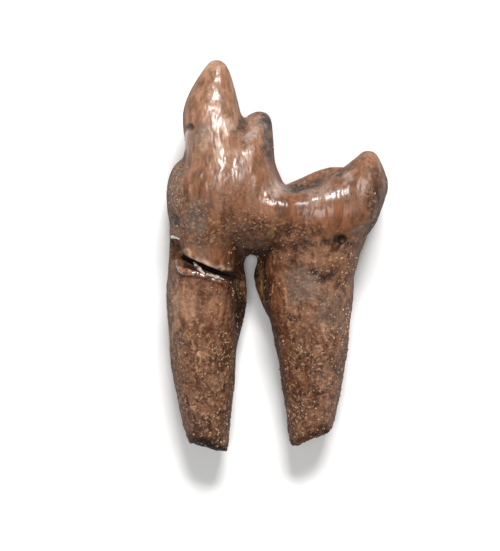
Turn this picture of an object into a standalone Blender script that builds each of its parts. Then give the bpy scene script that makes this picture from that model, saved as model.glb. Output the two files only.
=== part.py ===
"""A fossil mammal lower molar with two broken roots, as one solid that lies on its tongue side.

X runs from the front of the jaw to the back, Y from the root ends up to the cusps, and Z from the
tongue side, which rests on the surface, up to the cheek side. Shapes are worked out in millimetres
and turned into metres at the end. The forms are lofts and rods that run into each other: a voxel
remesh fuses them into one skin, because the tooth grew as one piece. The basin, the cleft where
the front root was once snapped, the pits, the broken root ends and the resting flats are cut last.
"""

import math

import bpy
import bmesh
import numpy as np
from mathutils import Matrix, Vector, noise
from mathutils.bvhtree import BVHTree

METRES_PER_MM = 0.001

# Driving sizes of the finished tooth, in millimetres
CROWN_LENGTH = 12.4  # front to back, along X
TOOTH_LENGTH = 22.0  # root ends to main cusp, along Y
CROWN_WIDTH = 6.8  # tongue side to cheek side, along Z

TOOTH_COLOUR = (0.20, 0.105, 0.065, 1.0)
TOOTH_ROUGHNESS = 0.38

# How finely the skin is made: the grid that fuses the forms, and how often it is smoothed
RING_POINTS = 28
FUSE_VOXEL = 0.12
WELD_DISTANCE = 0.00005
SKIN_SMOOTHING = 12
MELT_SMOOTHING = 70
WEAR_SMOOTHING = 2
TRIANGLES = 9400

# A loft's stations are (y, left, right, back, front): its height along the tooth, its reach from
# the jaw's front to its back, and its reach from the tongue side to the cheek side.
FRONT_COLUMN = [
    (-12.0, -4.75, -2.80, 0.70, 3.55),
    (-10.2, -5.20, -2.70, 0.36, 4.00),
    (-9.0, -5.48, -2.56, 0.12, 4.40),
    (-7.0, -5.92, -2.44, -0.14, 4.90),
    (-5.0, -6.14, -2.26, -0.20, 5.30),
    (-3.0, -6.25, -2.26, -0.10, 5.60),
    (-1.0, -6.22, -2.40, 0.06, 5.80),
    (0.5, -6.14, -2.10, 0.05, 6.05),
    (1.5, -6.10, -1.30, -0.12, 6.50),
    (2.6, -6.26, -0.60, -0.18, 6.84),
    (3.5, -6.30, -0.40, 0.10, 6.82),
    (4.1, -6.10, -0.90, 0.90, 6.66),
    (4.6, -5.70, -1.40, 1.60, 6.50),
]
MAIN_CUSP = [
    (3.0, -5.60, -0.90, 1.40, 6.76),
    (4.2, -5.46, -1.20, 1.60, 6.58),
    (5.2, -5.28, -1.50, 1.80, 6.36),
    (6.2, -5.18, -1.76, 2.05, 6.12),
    (7.0, -5.34, -1.88, 2.25, 5.92),
    (7.8, -5.36, -2.04, 2.50, 5.68),
    (8.5, -5.24, -2.18, 2.75, 5.42),
    (9.2, -4.94, -2.34, 3.00, 5.14),
    (9.9, -4.50, -2.54, 3.26, 4.86),
    (10.5, -4.14, -2.76, 3.50, 4.62),
    (10.86, -3.88, -2.98, 3.70, 4.44),
    (10.97, -3.72, -3.12, 3.84, 4.32),
]
SECOND_CUSP = [
    (2.4, -3.60, 0.50, 0.10, 6.60),
    (3.4, -3.70, 0.62, 0.10, 6.50),
    (4.2, -3.60, 0.30, 0.14, 6.40),
    (5.2, -3.40, -0.12, 0.30, 6.10),
    (6.2, -3.10, -0.20, 0.60, 5.66),
    (7.0, -2.70, -0.22, 0.95, 5.06),
    (7.5, -2.10, -0.26, 1.25, 4.46),
    (7.9, -1.60, -0.42, 1.60, 3.80),
    (8.14, -1.24, -0.66, 1.95, 3.30),
]
FRONT_STUB = [
    (1.6, -6.14, -3.40, 0.20, 5.20),
    (3.4, -6.34, -3.50, 0.20, 5.00),
    (4.3, -6.26, -3.70, 0.50, 4.60),
    (4.9, -6.00, -4.00, 0.90, 4.00),
    (5.4, -5.64, -4.50, 1.30, 3.20),
]
BACK_COLUMN = [
    (-11.3, 0.72, 2.80, 0.70, 3.40),
    (-10.0, 0.58, 3.14, 0.40, 3.90),
    (-9.0, 0.50, 3.38, 0.16, 4.20),
    (-7.0, 0.24, 3.80, -0.12, 4.70),
    (-5.0, -0.10, 4.08, -0.20, 5.10),
    (-3.0, -0.60, 4.26, -0.10, 5.40),
    (-1.0, -0.74, 4.42, 0.06, 5.60),
    (0.3, -0.70, 4.80, 0.10, 5.76),
    (1.2, -0.90, 5.36, 0.00, 6.06),
    (2.2, -1.20, 5.84, -0.18, 6.36),
    (3.0, -1.10, 6.08, 0.00, 6.34),
    (3.5, 0.10, 6.30, 0.30, 6.14),
    (3.9, 1.50, 6.34, 0.50, 5.94),
    (4.3, 2.60, 6.28, 0.70, 5.72),
    (4.6, 3.40, 6.12, 1.00, 5.50),
]
# The wall that carries the tongue-side rim
TONGUE_WALL = [
    (1.4, -0.40, 5.10, 0.40, 2.80),
    (2.3, -0.50, 5.70, 0.00, 2.40),
    (3.2, -0.50, 6.14, 0.00, 2.10),
    (3.8, 0.40, 6.20, 0.30, 1.90),
    (4.2, 1.20, 6.10, 0.50, 1.80),
    (4.6, 2.10, 5.70, 0.64, 1.60),
    (4.9, 2.90, 4.90, 0.76, 1.40),
]
BACK_CUSP = [
    (1.2, 2.60, 5.00, 2.60, 5.80),
    (2.2, 2.70, 5.76, 2.40, 6.24),
    (3.0, 2.90, 6.10, 2.60, 6.22),
    (4.0, 3.30, 6.26, 2.90, 5.98),
    (4.6, 3.70, 6.10, 3.10, 5.72),
    (5.1, 4.14, 5.92, 3.36, 5.36),
    (5.5, 4.50, 5.72, 3.66, 5.04),
    (5.86, 4.84, 5.48, 4.00, 4.70),
]
# The waist of the crown, over the fork of the roots
BRIDGE = [
    (0.02, -2.70, 0.20, 1.90, 3.60),
    (0.35, -2.90, 0.50, 1.20, 4.60),
    (0.9, -3.50, 1.60, 0.60, 5.70),
    (1.7, -4.00, 2.80, 0.10, 6.46),
    (2.6, -4.10, 3.20, -0.10, 6.64),
    (3.3, -3.80, 2.20, 0.20, 6.34),
    (3.9, -3.20, 0.60, 0.80, 5.80),
]
# The tongue-side lobe of each root, which stands out into the gap below the fork
FRONT_BUTTRESS = [
    (-5.6, -4.60, -2.30, 0.60, 2.60),
    (-4.2, -4.40, -2.04, 0.50, 2.80),
    (-2.6, -4.20, -1.70, 0.50, 3.00),
    (-1.6, -4.20, -1.72, 0.50, 3.00),
    (-0.7, -4.20, -1.94, 0.50, 3.10),
    (0.6, -4.00, -1.60, 0.50, 3.20),
]
BACK_BUTTRESS = [
    (-4.4, 0.00, 1.60, 0.60, 2.60),
    (-3.2, -0.66, 1.40, 0.50, 2.80),
    (-2.2, -1.12, 1.20, 0.50, 3.00),
    (-1.3, -1.36, 1.00, 0.50, 3.00),
    (-0.5, -1.14, 1.00, 0.50, 3.00),
    (0.6, -0.90, 1.00, 0.50, 3.20),
]
LOFTS = (FRONT_COLUMN, MAIN_CUSP, SECOND_CUSP, FRONT_STUB, BACK_COLUMN, TONGUE_WALL, BACK_CUSP,
         BRIDGE, FRONT_BUTTRESS, BACK_BUTTRESS)

# Crests are rods of (x, y, z, radius) points, half sunk in the crown.
TONGUE_RIM = [
    (0.20, 3.60, 1.20, 0.30),
    (0.73, 3.88, 1.00, 0.32),
    (1.40, 4.12, 0.90, 0.32),
    (2.18, 4.48, 0.86, 0.32),
    (2.96, 4.76, 0.90, 0.32),
    (3.70, 4.80, 1.00, 0.32),
    (4.60, 4.72, 1.36, 0.34),
    (5.44, 4.46, 2.00, 0.38),
    (5.92, 4.24, 2.80, 0.40),
    (5.94, 4.24, 3.60, 0.40),
]
CHEEK_RIM = [
    (0.20, 3.46, 4.10, 0.30),
    (1.28, 3.50, 4.72, 0.30),
    (1.95, 3.70, 4.94, 0.30),
    (2.68, 4.04, 4.96, 0.30),
    (3.41, 4.42, 4.88, 0.30),
    (3.96, 4.80, 4.74, 0.28),
    (4.52, 5.24, 4.54, 0.28),
    (5.06, 5.64, 4.36, 0.26),
]
CUSP_CREST = [
    (-2.80, 8.60, 4.20, 0.24),
    (-2.30, 7.80, 3.90, 0.28),
    (-1.90, 7.32, 3.60, 0.30),
    (-1.50, 7.52, 3.20, 0.28),
    (-1.05, 7.80, 2.60, 0.26),
]
FRONT_CREST = [
    (-4.40, 8.60, 4.00, 0.22),
    (-4.90, 7.30, 3.90, 0.24),
    (-4.96, 6.10, 3.60, 0.26),
    (-5.20, 5.30, 3.00, 0.28),
    (-5.36, 4.90, 2.40, 0.26),
]
RODS = (TONGUE_RIM, CHEEK_RIM, CUSP_CREST, FRONT_CREST)

# The bowl between the rims of the back half of the crown
BASIN_CENTRE = (2.95, 5.28, 2.90)
BASIN_RADII = (2.90, 1.70, 1.86)
BASIN_RISE = math.radians(22)

# The cleft's line over the cheek side: (x, y, half width, bottom z). It wraps round the front.
CLEFT = [
    (-7.20, 1.70, 0.20, 2.80),
    (-6.10, 0.80, 0.24, 3.20),
    (-5.90, 0.45, 0.27, 4.40),
    (-5.70, 0.18, 0.26, 4.85),
    (-5.32, -0.16, 0.20, 5.10),
    (-4.90, -0.32, 0.16, 4.90),
    (-4.30, -0.58, 0.14, 4.80),
    (-3.60, -0.84, 0.13, 4.84),
    (-2.90, -1.10, 0.12, 4.80),
    (-2.36, -1.29, 0.10, 4.60),
    (-1.90, -1.44, 0.06, 4.40),
]
CLEFT_TOP = 7.4
CLEFT_TAPER = 0.45
CLEFT_STEP = 0.22
CLEFT_ROUGHNESS = 0.07

# Pits eaten into the neck of the crown: (x, y, radius)
PITS = [(3.62, 0.82, 0.20), (5.20, 1.55, 0.16), (4.82, 1.07, 0.14), (2.62, 0.63, 0.10),
        (-5.62, 1.80, 0.14), (0.72, -0.89, 0.12)]

# The slow unevenness of the skin: (height, width of a lump)
WIDE_LUMPS = (0.09, 1.7)
SMALL_LUMPS = (0.03, 0.7)

# A long hollow down the cheek side of each root: (x, width, depth), and how much both lean
ROOT_HOLLOWS = [(-4.7, 0.7, 0.10), (1.2, 0.6, 0.13)]
HOLLOW_LEAN = 0.06
HOLLOW_MIDDLE = -4.0

# The low step where the enamel ends
NECK_HEIGHT = 1.05
NECK_WAVE = 0.10
NECK_DEPTH = 0.12
NECK_SPREAD = 0.30

# The broken root ends: a point of the break, how it slopes along X and along Z
FRONT_BREAK = ((-3.80, -11.04, 2.2), -0.28, 0.08)
BACK_BREAK = ((1.90, -10.54, 2.2), 0.34, 0.06)
BREAK_ROUGHNESS = 0.16
BREAK_REACH = 2.6
BREAK_STEPS = 26
CANAL_RADII = (0.27, 0.50, 0.54)

# Where the tooth rests: (low x, high x, low y, high y) of each place on the tongue side
RESTING_PLACES = [(-5.6, -2.4, 1.4, 4.4), (1.8, 5.2, 1.4, 4.0), (-5.6, -2.6, -8.6, -5.4),
                  (0.8, 3.4, -8.6, -5.4)]
REST_DEPTH = 0.06
FLOOR_BLOCK = 40.0


def clear_scene():
    for obj in list(bpy.data.objects):
        bpy.data.objects.remove(obj, do_unlink=True)


def new_collection(name):
    made = bpy.data.collections.new(name)
    bpy.context.scene.collection.children.link(made)
    return made


def link(mesh, name, group):
    obj = bpy.data.objects.new(name, mesh)
    group.objects.link(obj)
    return obj


def mesh_from(bm, name):
    mesh = bpy.data.meshes.new(name)
    bm.to_mesh(mesh)
    bm.free()
    return mesh


def taken_off(obj, name):
    """The object's mesh after its modifiers, as a mesh of its own; the object is removed."""
    bpy.context.view_layer.update()
    graph = bpy.context.evaluated_depsgraph_get()
    mesh = bpy.data.meshes.new_from_object(obj.evaluated_get(graph))
    mesh.name = name
    bpy.data.objects.remove(obj)
    return mesh


def skin_rings(bm, rings):
    """Adds the closed surface through rings of the same number of points to bm."""
    rings = [[bm.verts.new(point) for point in ring] for ring in rings]
    count = len(rings[0])
    for low, high in zip(rings, rings[1:]):
        for i in range(count):
            j = (i + 1) % count
            bm.faces.new((low[i], high[i], high[j], low[j]))
    bm.faces.new(rings[0])
    bm.faces.new(reversed(rings[-1]))


def section_ring(station, squareness=2.3):
    """The rounded section of a loft at one station."""
    y, left, right, back, front = station
    power = 2.0 / squareness
    ring = []
    for i in range(RING_POINTS):
        angle = 2 * math.pi * i / RING_POINTS
        across, up = math.cos(angle), math.sin(angle)
        x = (left + right) / 2 + (right - left) / 2 * math.copysign(abs(across) ** power, across)
        z = (back + front) / 2 + (front - back) / 2 * math.copysign(abs(up) ** power, up)
        ring.append(Vector((x, y, z)))
    return ring


def rod_mesh(points, group):
    """A crest as a bevelled curve through (x, y, z, radius) points."""
    curve = bpy.data.curves.new("crest", "CURVE")
    curve.dimensions = "3D"
    curve.bevel_depth = 1.0
    curve.bevel_resolution = 3
    curve.use_fill_caps = True
    spline = curve.splines.new("POLY")
    spline.points.add(len(points) - 1)
    for point, (x, y, z, radius) in zip(spline.points, points):
        point.co = (x, y, z, 1.0)
        point.radius = radius
    return taken_off(link(curve, "crest", group), "crest")


def add_fuse(obj):
    fuse = obj.modifiers.new("fuse", "REMESH")
    fuse.mode = "VOXEL"
    fuse.voxel_size = FUSE_VOXEL


def add_smooth(obj, iterations):
    smooth = obj.modifiers.new("smooth", "SMOOTH")
    smooth.factor = 0.5
    smooth.iterations = iterations
    return smooth


def fused_skin(group):
    """All lofts and rods as one even skin, with their joins melted together."""
    bm = bmesh.new()
    for stations in LOFTS:
        skin_rings(bm, [section_ring(s) for s in stations])
    for points in RODS:
        mesh = rod_mesh(points, group)
        bm.from_mesh(mesh)
        bpy.data.meshes.remove(mesh)
    bmesh.ops.remove_doubles(bm, verts=bm.verts, dist=WELD_DISTANCE)
    rough = link(mesh_from(bm, "rough"), "rough", group)
    add_fuse(rough)
    add_smooth(rough, SKIN_SMOOTHING)
    skin = taken_off(rough, "skin")

    melted = link(skin, "melted", group)
    weights = melted.vertex_groups.new(name="melt")
    for index, weight in enumerate(melt_weights(points_of(skin))):
        weights.add([index], weight, "REPLACE")
    add_smooth(melted, MELT_SMOOTHING).vertex_group = "melt"
    return taken_off(melted, "skin")


def ease(value, low, high):
    """0 at low, 1 at high, smooth between; low may be above high."""
    share = np.clip((value - low) / (high - low), 0.0, 1.0)
    return share * share * (3.0 - 2.0 * share)


def melt_weights(points):
    """Where the crown's parts run into each other, and the skin is smoothed most."""
    x, y, z = points.T
    walls = ease(y, 0.5, 1.3) * ease(y, 4.6, 3.6) * ease(np.abs(z - 3.2), 1.4, 2.4)
    waist = ease(np.abs(x + 0.6), 3.8, 2.0)
    cusp_foot = ease(y, 3.2, 4.2) * ease(y, 7.2, 5.6) * ease(x, 0.2, -0.6)
    return np.clip(np.maximum(walls * waist, cusp_foot), 0.0, 1.0)


def points_of(mesh):
    flat = np.empty(len(mesh.vertices) * 3, np.float32)
    mesh.vertices.foreach_get("co", flat)
    return flat.reshape(-1, 3).astype(float)


def normals_of(mesh):
    flat = np.empty(len(mesh.vertices) * 3, np.float32)
    mesh.vertices.foreach_get("normal", flat)
    return flat.reshape(-1, 3).astype(float)


def set_points(mesh, points):
    mesh.vertices.foreach_set("co", points.astype(np.float32).ravel())
    mesh.update()


def field(points, scale, shift=0.0):
    """Soft noise from -1 to 1 over the points, with lumps about scale millimetres wide."""
    place = Vector((11.3 + shift, 4.7, 2.9))
    return np.array([noise.noise(Vector(p) / scale + place) for p in points])


def shape_by_hand(mesh):
    """The grooves, the neck and the slow unevenness that growth and burial left."""
    points, normals = points_of(mesh), normals_of(mesh)
    x, y, z = points.T
    on_root = ease(y, 0.6, -0.8)
    height, width = WIDE_LUMPS
    lift = height * field(points, width) * (0.35 + 0.65 * on_root)
    height, width = SMALL_LUMPS
    lift += height * field(points, width, 5.0) * on_root
    # the hollows begin below the neck and fade out before the broken ends
    down_root = ease(y, -0.4, -2.0) * ease(y, -10.8, -7.0)
    lean = HOLLOW_LEAN * (y - HOLLOW_MIDDLE)
    for centre, width, depth in ROOT_HOLLOWS:
        hollow = np.exp(-((x - centre - lean) / width) ** 2) * ease(z, 2.5, 4.0)
        lift -= depth * hollow * down_root
    # the neck: enamel ends in a low step round the back half of the crown
    neck_line = NECK_HEIGHT + NECK_WAVE * (np.sin(1.7 * x) + field(points, 0.9, 9.0))
    under_crown = ease(x, -1.6, 0.4)
    lift -= NECK_DEPTH * np.exp(-((y - neck_line) / NECK_SPREAD) ** 2) * under_crown
    set_points(mesh, points + normals * lift[:, None])


def cutter_from(bm, name, group):
    """Turns bm into a cutter object, which isn't part of the tooth."""
    obj = link(mesh_from(bm, name), name, group)
    obj.hide_render = True
    obj.display_type = "WIRE"
    return obj


def basin_cutter(group):
    bm = bmesh.new()
    bmesh.ops.create_uvsphere(bm, u_segments=32, v_segments=20, radius=1.0)
    place = Matrix.Translation(BASIN_CENTRE) @ Matrix.Rotation(BASIN_RISE, 4, "Z")
    bm.transform(place @ Matrix.Diagonal((*BASIN_RADII, 1.0)))
    return cutter_from(bm, "basin", group)


def resampled(points, step):
    """The points with more between them, no further than step apart, as numpy rows."""
    rows = [np.array(points[0])]
    for start, end in zip(points, points[1:]):
        start, end = np.array(start), np.array(end)
        count = max(1, math.ceil(np.linalg.norm((end - start)[:2]) / step))
        rows += [start + (end - start) * i / count for i in range(1, count + 1)]
    return rows


def cleft_cutter(group):
    """A ragged wedge along the cleft's line: wide at the cheek side, narrow at its bottom."""
    stations = resampled(CLEFT, CLEFT_STEP)
    rings = []
    for i, (x, y, half, bottom) in enumerate(stations):
        along = stations[min(i + 1, len(stations) - 1)][:2] - stations[max(i - 1, 0)][:2]
        side = Vector((-along[1], along[0], 0)).normalized()
        wander = CLEFT_ROUGHNESS * noise.noise(Vector((x, y, 3.0)) / 0.4)
        flare = half * (1.0 + 0.4 * noise.noise(Vector((x, y, 9.0)) / 0.3))
        middle = Vector((x, y, 0)) + side * wander
        top, low = Vector((0, 0, CLEFT_TOP)), Vector((0, 0, bottom))
        rings.append([middle + side * flare + top, middle - side * flare + top,
                      middle - side * flare * CLEFT_TAPER + low,
                      middle + side * flare * CLEFT_TAPER + low])
    bm = bmesh.new()
    skin_rings(bm, rings)
    bmesh.ops.recalc_face_normals(bm, faces=bm.faces)
    return cutter_from(bm, "cleft", group)


def break_cutter(name, plane, group):
    """A block whose top is a rough sloping break; it takes off a root's end."""
    (x0, y0, z0), slope_x, slope_z = plane
    bm = bmesh.new()
    bmesh.ops.create_grid(bm, x_segments=BREAK_STEPS, y_segments=BREAK_STEPS, size=BREAK_REACH)
    for v in bm.verts:
        across, through = v.co.x, v.co.y
        place = Vector((across + x0, through, 0.0))
        rough = noise.noise(place / 0.9) + 0.6 * noise.noise(place / 0.35)
        height = y0 + slope_x * across + slope_z * through + BREAK_ROUGHNESS * rough
        v.co = (x0 + across, height, z0 + through)
    walls = bmesh.ops.extrude_edge_only(bm, edges=[e for e in bm.edges if e.is_boundary])
    for v in walls["geom"]:
        if isinstance(v, bmesh.types.BMVert):
            v.co.y = y0 - BREAK_REACH
    bmesh.ops.contextual_create(bm, geom=[e for e in bm.edges if e.is_boundary])
    bmesh.ops.recalc_face_normals(bm, faces=bm.faces)
    return cutter_from(bm, name, group)


def ball_cutters(mesh, group):
    """The pits, each a ball set on the cheek-side skin, and the canal in each root's break."""
    tree = BVHTree.FromPolygons(
        [v.co.copy() for v in mesh.vertices], [tuple(p.vertices) for p in mesh.polygons]
    )
    bm = bmesh.new()
    for x, y, radius in PITS:
        skin = tree.ray_cast(Vector((x, y, CLEFT_TOP)), Vector((0, 0, -1)))[0]
        place = Matrix.Translation(skin)
        bmesh.ops.create_icosphere(bm, subdivisions=2, radius=radius, matrix=place)
    for middle, _, _ in (FRONT_BREAK, BACK_BREAK):
        place = Matrix.Translation(middle) @ Matrix.Diagonal((*CANAL_RADII, 1.0))
        bmesh.ops.create_icosphere(bm, subdivisions=2, radius=1.0, matrix=place)
    return cutter_from(bm, "pits_and_canals", group)


def cut(obj, cutter):
    modifier = obj.modifiers.new(cutter.name, "BOOLEAN")
    modifier.operation = "DIFFERENCE"
    modifier.object = cutter


def resting_height(mesh):
    """The height of the plane that takes a flat off the tongue side at each resting place."""
    points = points_of(mesh)
    x, y, z = points.T
    lowest = []
    for low_x, high_x, low_y, high_y in RESTING_PLACES:
        here = (x > low_x) & (x < high_x) & (y > low_y) & (y < high_y)
        lowest.append(z[here].min())
    print("lowest points of the resting places, mm:", np.round(lowest, 3).tolist())
    return max(lowest) + REST_DEPTH


def floor_cutter(height, group):
    """Everything under the resting plane."""
    bm = bmesh.new()
    place = Matrix.Translation((0, 0, height - FLOOR_BLOCK / 2))
    bmesh.ops.create_cube(bm, size=FLOOR_BLOCK, matrix=place)
    return cutter_from(bm, "under_the_floor", group)


def fit_to_size(mesh):
    """Scales the mesh to the driving sizes, in metres, with the origin under its box's centre."""
    points = points_of(mesh)
    low, high = points.min(axis=0), points.max(axis=0)
    scale = np.array((CROWN_LENGTH, TOOTH_LENGTH, CROWN_WIDTH)) / (high - low)
    under = np.array(((low[0] + high[0]) / 2, (low[1] + high[1]) / 2, low[2]))
    print("brought to the driving sizes by", scale.round(3), "from the point", under.round(3))
    set_points(mesh, (points - under) * scale * METRES_PER_MM)


def tooth_material():
    material = bpy.data.materials.new("fossil_tooth")
    material.use_nodes = True
    shader = material.node_tree.nodes["Principled BSDF"]
    shader.inputs["Base Color"].default_value = TOOTH_COLOUR
    shader.inputs["Roughness"].default_value = TOOTH_ROUGHNESS
    shader.inputs["Metallic"].default_value = 0.0
    material.diffuse_color = TOOTH_COLOUR
    return material


def main():
    clear_scene()
    tooth = new_collection("fossil_molar")
    cutters = new_collection("cutters")

    # the skin with its soft hollows, then what was worn, eaten or broken away from it
    skin = fused_skin(tooth)
    shape_by_hand(skin)
    body = link(skin, "body", tooth)
    cut(body, basin_cutter(cutters))
    cut(body, ball_cutters(skin, cutters))
    cut(body, break_cutter("front_break", FRONT_BREAK, cutters))
    cut(body, break_cutter("back_break", BACK_BREAK, cutters))
    add_fuse(body)
    add_smooth(body, WEAR_SMOOTHING)
    worn = taken_off(body, "worn")

    # the cleft and the resting flats keep crisp edges, so they are cut after the skin is thinned
    solid = link(worn, "solid", tooth)
    thin = solid.modifiers.new("thin", "DECIMATE")
    thin.ratio = TRIANGLES / (2 * len(worn.polygons))
    cut(solid, cleft_cutter(cutters))
    cut(solid, floor_cutter(resting_height(worn), cutters))
    tooth_mesh = taken_off(solid, "molar")
    fit_to_size(tooth_mesh)
    tooth_mesh.materials.append(tooth_material())
    link(tooth_mesh, "molar", tooth)


main()
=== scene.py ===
# %% [markdown]
# # A fossil molar, seen from its cheek side
#
# The object is one natural thing: a fossil tooth with a tall main cusp, a second cusp behind it, a
# basined heel and two broken roots. It lies on its tongue side, and the camera looks straight down
# on it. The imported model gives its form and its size. This script gives it its surface: worn
# enamel, granular roots, an old break with its glue, stains, and sand still stuck to it.
#
# Everything is worked out in millimetres, because a tooth is small, and is turned into metres at
# the end. X runs from the front of the jaw to the back, Y from the root ends to the cusps, and Z
# up to the cheek side.

import math

import bmesh
import bpy
import numpy as np
from mathutils import Matrix, Vector, noise
from mathutils.bvhtree import BVHTree


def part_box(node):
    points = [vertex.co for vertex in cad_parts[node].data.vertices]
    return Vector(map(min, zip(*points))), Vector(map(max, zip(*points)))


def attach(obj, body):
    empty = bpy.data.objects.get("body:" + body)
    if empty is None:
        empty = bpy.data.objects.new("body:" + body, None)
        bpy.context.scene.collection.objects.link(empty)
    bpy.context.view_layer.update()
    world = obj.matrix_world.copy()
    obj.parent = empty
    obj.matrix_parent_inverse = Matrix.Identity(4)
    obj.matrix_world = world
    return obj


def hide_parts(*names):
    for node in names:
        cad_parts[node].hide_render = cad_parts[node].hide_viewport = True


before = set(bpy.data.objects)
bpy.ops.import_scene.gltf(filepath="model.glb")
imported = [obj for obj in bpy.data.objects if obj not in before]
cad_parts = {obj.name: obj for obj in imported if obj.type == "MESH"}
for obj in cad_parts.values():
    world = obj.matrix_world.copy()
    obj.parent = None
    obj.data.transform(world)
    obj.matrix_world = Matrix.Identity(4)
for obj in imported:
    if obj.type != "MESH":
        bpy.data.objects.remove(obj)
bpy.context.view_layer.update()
MM = 0.001


# %% [markdown]
# ## Places read from the photograph
#
# Stains, chips and the break are placed where the photograph shows them. The tooth is seen from
# straight above there, so a pixel turns into a place on the tooth by one scale and one origin. The
# tooth is 22 mm long and covers 394 pixels.

# %% From pixels to millimetres
MM_PER_PIXEL = 22.0 / 394.0
ORIGIN_PIXEL = (277.0, 257.5)


def on_tooth(px, py):
    """The place in the tooth's X and Y, in mm, of a pixel of the photograph."""
    return (px - ORIGIN_PIXEL[0]) * MM_PER_PIXEL, (ORIGIN_PIXEL[1] - py) * MM_PER_PIXEL


def ease(value, low, high):
    """0 at low, 1 at high, smooth between; low may be above high."""
    share = np.clip((value - low) / (high - low), 0.0, 1.0)
    return share * share * (3.0 - 2.0 * share)


def field(points, scale, seed, stretch=(1.0, 1.0, 1.0)):
    """Soft noise from -1 to 1, with lumps about scale mm wide; each seed reads another part of it."""
    place = Vector((31.7 + seed, 12.3 - seed, 5.1 + 2.0 * seed))
    spread = Vector([1.0 / (scale * s) for s in stretch])
    return np.array([noise.noise(Vector(p) * spread + place) for p in points])


def layered(points, layers):
    """Layers of soft noise added up; each is a strength, and then what field takes."""
    return sum(strength * field(points, *settings) for strength, *settings in layers)


def dab(points, px, py, wide, high, turn=0.0, soft=0.45):
    """A soft-edged oval mark round a pixel: 1 inside, 0 outside, sizes in pixels."""
    x0, y0 = on_tooth(px, py)
    angle = math.radians(turn)
    dx, dy = points[:, 0] - x0, points[:, 1] - y0
    along = (dx * math.cos(angle) + dy * math.sin(angle)) / (wide * MM_PER_PIXEL)
    across = (dy * math.cos(angle) - dx * math.sin(angle)) / (high * MM_PER_PIXEL)
    return ease(np.hypot(along, across), 1.0 + soft, 1.0 - soft)


def distance_to_line(points, pixels):
    """Distance in mm, in X and Y, from each point to a broken line of pixels."""
    line = np.array([on_tooth(*p) for p in pixels])
    best = np.full(len(points), np.inf)
    for start, end in zip(line, line[1:]):
        step = end - start
        share = np.clip(((points[:, :2] - start) @ step) / (step @ step), 0.0, 1.0)
        gap = np.linalg.norm(points[:, :2] - start - share[:, None] * step, axis=1)
        best = np.minimum(best, gap)
    return best


def ridge(points, pixels, width):
    """1 on a broken line of pixels, fading to 0 over about twice width mm on each side."""
    return np.exp(-(distance_to_line(points, pixels) / width) ** 2)


# %% [markdown]
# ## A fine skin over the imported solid
#
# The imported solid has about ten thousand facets. A voxel remesh lays an even net of small quads
# over it, and smoothing takes the facets out of the net while the forms stay. Sculpting by code
# needs such an even net. Its points are 0.09 mm apart, and only the thin seams are finer than that.

# %% The even net
SKIN_VOXEL = 0.093
SKIN_SMOOTHING = 14
MERGE_WITHIN = 1e-4


def per_point(mesh, what):
    flat = np.empty(len(mesh.vertices) * 3, np.float32)
    mesh.vertices.foreach_get(what, flat)
    return flat.reshape(-1, 3).astype(float)


def points_of(mesh):
    return per_point(mesh, "co")


def normals_of(mesh):
    return per_point(mesh, "normal")


def set_points(mesh, points):
    mesh.vertices.foreach_set("co", points.astype(np.float32).ravel())
    mesh.update()


def piece_from(mesh, name):
    obj = bpy.data.objects.new(name, mesh)
    bpy.context.scene.collection.objects.link(obj)
    return obj


def taken_off(obj, name):
    """The object's mesh after its modifiers, as a mesh of its own; the object is removed."""
    bpy.context.view_layer.update()
    graph = bpy.context.evaluated_depsgraph_get()
    mesh = bpy.data.meshes.new_from_object(obj.evaluated_get(graph))
    mesh.name = name
    bpy.data.objects.remove(obj)
    return mesh


def fine_skin(node):
    """A smooth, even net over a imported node, in millimetres."""
    bm = bmesh.new()
    bm.from_mesh(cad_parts[node].data)
    bmesh.ops.remove_doubles(bm, verts=bm.verts, dist=MERGE_WITHIN * MM)
    bm.transform(Matrix.Scale(1.0 / MM, 4))
    mesh = bpy.data.meshes.new("skin")
    bm.to_mesh(mesh)
    bm.free()
    obj = piece_from(mesh, "skin")
    net = obj.modifiers.new("net", "REMESH")
    net.mode = "VOXEL"
    net.voxel_size = SKIN_VOXEL
    smooth = obj.modifiers.new("smooth", "SMOOTH")
    smooth.factor = 0.5
    smooth.iterations = SKIN_SMOOTHING
    return taken_off(obj, "tooth")


tooth = fine_skin("molar")
print("fine skin:", len(tooth.vertices), "points,", len(tooth.polygons), "quads")


# %% [markdown]
# ## Enamel and root
#
# Enamel covers the crown and ends in a wavy line at the neck. Below it the root is bare and rough.
# The line climbs over the fork between the roots. A value from 0 to 1 for each point says which of
# the two it is; the carving and the colours both read it.

# %% Where the enamel ends
NECK_LINE = [(150, 232), (172, 240), (200, 262), (228, 266), (244, 250), (262, 246), (290, 248),
             (320, 246), (345, 240), (365, 232), (400, 222)]
NECK_WAVES = [(0.16, 0.8, 3.0), (0.10, 0.3, 4.0)]
NECK_FADE = 0.22


def enamel_share(points):
    """1 on enamel, 0 on root, with a wavy edge that fades over NECK_FADE on each side."""
    pixels_x = points[:, 0] / MM_PER_PIXEL + ORIGIN_PIXEL[0]
    line_x, line_y = zip(*NECK_LINE)
    neck = (ORIGIN_PIXEL[1] - np.interp(pixels_x, line_x, line_y)) * MM_PER_PIXEL
    return ease(points[:, 1] + layered(points, NECK_WAVES), neck - NECK_FADE, neck + NECK_FADE)


enamel = enamel_share(points_of(tooth))
print("share of the skin that is enamel:", round(float(enamel.mean()), 2))


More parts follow.
